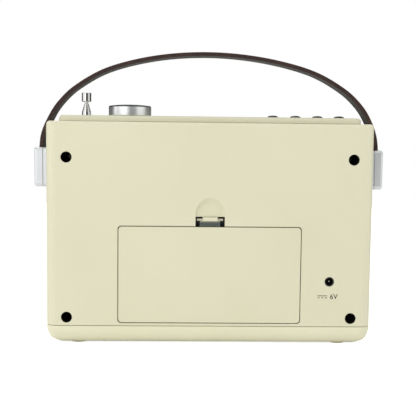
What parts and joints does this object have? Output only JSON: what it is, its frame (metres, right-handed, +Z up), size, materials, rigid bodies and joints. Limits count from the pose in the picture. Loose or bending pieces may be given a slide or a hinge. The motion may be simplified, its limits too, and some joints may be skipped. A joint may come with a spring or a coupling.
{
  "type": "portable tabletop radio",
  "caption": "Tabletop radio with a rounded two-shell case, raised control panel, telescopic antenna, leather carrying strap, speaker grille, display and a latched battery door.",
  "frame": {"origin": "on the table under the middle of the case, at the bottom centre of the bounding box", "axes": "+X along the case's width, to the right as seen from the front; +Y from the front face (grille and display) to the back face (battery door); +Z up"},
  "size_m": [0.288, 0.088, 0.2356],
  "materials": {
    "case_plastic": "satin moulded ABS",
    "satin_aluminium": "satin, spun and clear anodised",
    "chrome": "polished plating",
    "dark_metal": "dark plated, polished dome",
    "zinc_steel": "zinc plated",
    "black_plastic": "moulded",
    "grey_plastic": "moulded",
    "rubber": "soft, matt",
    "leather": "fine grain, painted edge",
    "circuit_board": "solder mask",
    "speaker_paper": "pressed paper",
    "display_glass": "polished, tinted",
    "grille_metal": "perforated sheet, satin"
  },
  "bodies": {
    "case": {"front_shell": "case_plastic", "rear_shell": "case_plastic", "base_tray": "case_plastic", "top_panel": "case_plastic", "speaker_grille": "grille_metal", "display_frame": "chrome", "display_lens": "display_glass", "display_module": "black_plastic", "speaker_basket": "zinc_steel", "speaker_cone": "speaker_paper", "speaker_magnet": "dark_metal", "main_board": "circuit_board", "control_board": "circuit_board", "volume_encoder": "zinc_steel", "antenna_clamp": "grey_plastic", "contact_bridge": "zinc_steel", "contact_plate_lower": "zinc_steel", "contact_plate_upper": "zinc_steel", "battery_spring_lower": "zinc_steel", "battery_spring_upper": "zinc_steel", "dc_jack": "black_plastic", "dc_jack_pin": "chrome", "speaker_screw_1": "zinc_steel", "tact_switch_1": "black_plastic", "case_screw_1": "black_plastic", "foot_1": "rubber", "speaker_screw_2": "zinc_steel", "tact_switch_2": "black_plastic", "case_screw_2": "black_plastic", "foot_2": "rubber", "speaker_screw_3": "zinc_steel", "tact_switch_3": "black_plastic", "case_screw_3": "black_plastic", "foot_3": "rubber", "speaker_screw_4": "zinc_steel", "tact_switch_4": "black_plastic", "case_screw_4": "black_plastic", "foot_4": "rubber", "antenna_tube_1": "chrome", "bracket_base_left": "satin_aluminium", "pivot_screw_left": "zinc_steel", "bracket_base_right": "satin_aluminium", "pivot_screw_right": "zinc_steel"},
    "volume_knob": {"volume_knob": "satin_aluminium", "encoder_shaft": "zinc_steel"},
    "button_1": {"button_1": "dark_metal"},
    "button_2": {"button_2": "dark_metal"},
    "button_3": {"button_3": "dark_metal"},
    "button_4": {"button_4": "dark_metal"},
    "antenna_2": {"antenna_tube_2": "chrome"},
    "antenna_3": {"antenna_tube_3": "chrome"},
    "antenna_4": {"antenna_tube_4": "chrome"},
    "antenna_5": {"antenna_tube_5": "chrome"},
    "antenna_mast": {"antenna_rod": "chrome", "antenna_cap": "chrome"},
    "battery_door": {"battery_door": "case_plastic"},
    "battery_latch": {"battery_latch": "case_plastic"},
    "handle": {"carry_strap": "leather", "bracket_cover_left": "satin_aluminium", "bracket_cover_right": "satin_aluminium"}
  },
  "joints": [
    {"name": "volume_turn", "type": "hinge", "parent": "case", "child": "volume_knob", "pos_m": [0.0665, 0, 0.185], "axis": [0, 0, 1], "continuous": true},
    {"name": "button_1_press", "type": "slide", "parent": "case", "child": "button_1", "axis": [0, 0, -1], "range_m": [0, 0.0008], "stiffness_N_per_m": 800, "springref_m": -0.0004},
    {"name": "button_2_press", "type": "slide", "parent": "case", "child": "button_2", "axis": [0, 0, -1], "range_m": [0, 0.0008], "stiffness_N_per_m": 800, "springref_m": -0.0004},
    {"name": "button_3_press", "type": "slide", "parent": "case", "child": "button_3", "axis": [0, 0, -1], "range_m": [0, 0.0008], "stiffness_N_per_m": 800, "springref_m": -0.0004},
    {"name": "button_4_press", "type": "slide", "parent": "case", "child": "button_4", "axis": [0, 0, -1], "range_m": [0, 0.0008], "stiffness_N_per_m": 800, "springref_m": -0.0004},
    {"name": "antenna_slide_1", "type": "slide", "parent": "case", "child": "antenna_2", "axis": [0, 0, 1], "range_m": [0, 0.118]},
    {"name": "antenna_slide_2", "type": "slide", "parent": "antenna_2", "child": "antenna_3", "axis": [0, 0, 1], "range_m": [0, 0.118]},
    {"name": "antenna_slide_3", "type": "slide", "parent": "antenna_3", "child": "antenna_4", "axis": [0, 0, 1], "range_m": [0, 0.118]},
    {"name": "antenna_slide_4", "type": "slide", "parent": "antenna_4", "child": "antenna_5", "axis": [0, 0, 1], "range_m": [0, 0.118]},
    {"name": "antenna_slide_5", "type": "slide", "parent": "antenna_5", "child": "antenna_mast", "axis": [0, 0, 1], "range_m": [0, 0.118]},
    {"name": "battery_door_hinge", "type": "hinge", "parent": "case", "child": "battery_door", "pos_m": [0, 0.044, 0.0177], "axis": [-1, 0, 0], "range_deg": [0, 95]},
    {"name": "battery_latch_press", "type": "slide", "parent": "battery_door", "child": "battery_latch", "axis": [0, 0, -1], "range_m": [0, 0.002], "stiffness_N_per_m": 600, "springref_m": -0.0004},
    {"name": "handle_swing", "type": "hinge", "parent": "case", "child": "handle", "pos_m": [0, 0, 0.14], "axis": [1, 0, 0], "range_deg": [-10, 17]}
  ]
}
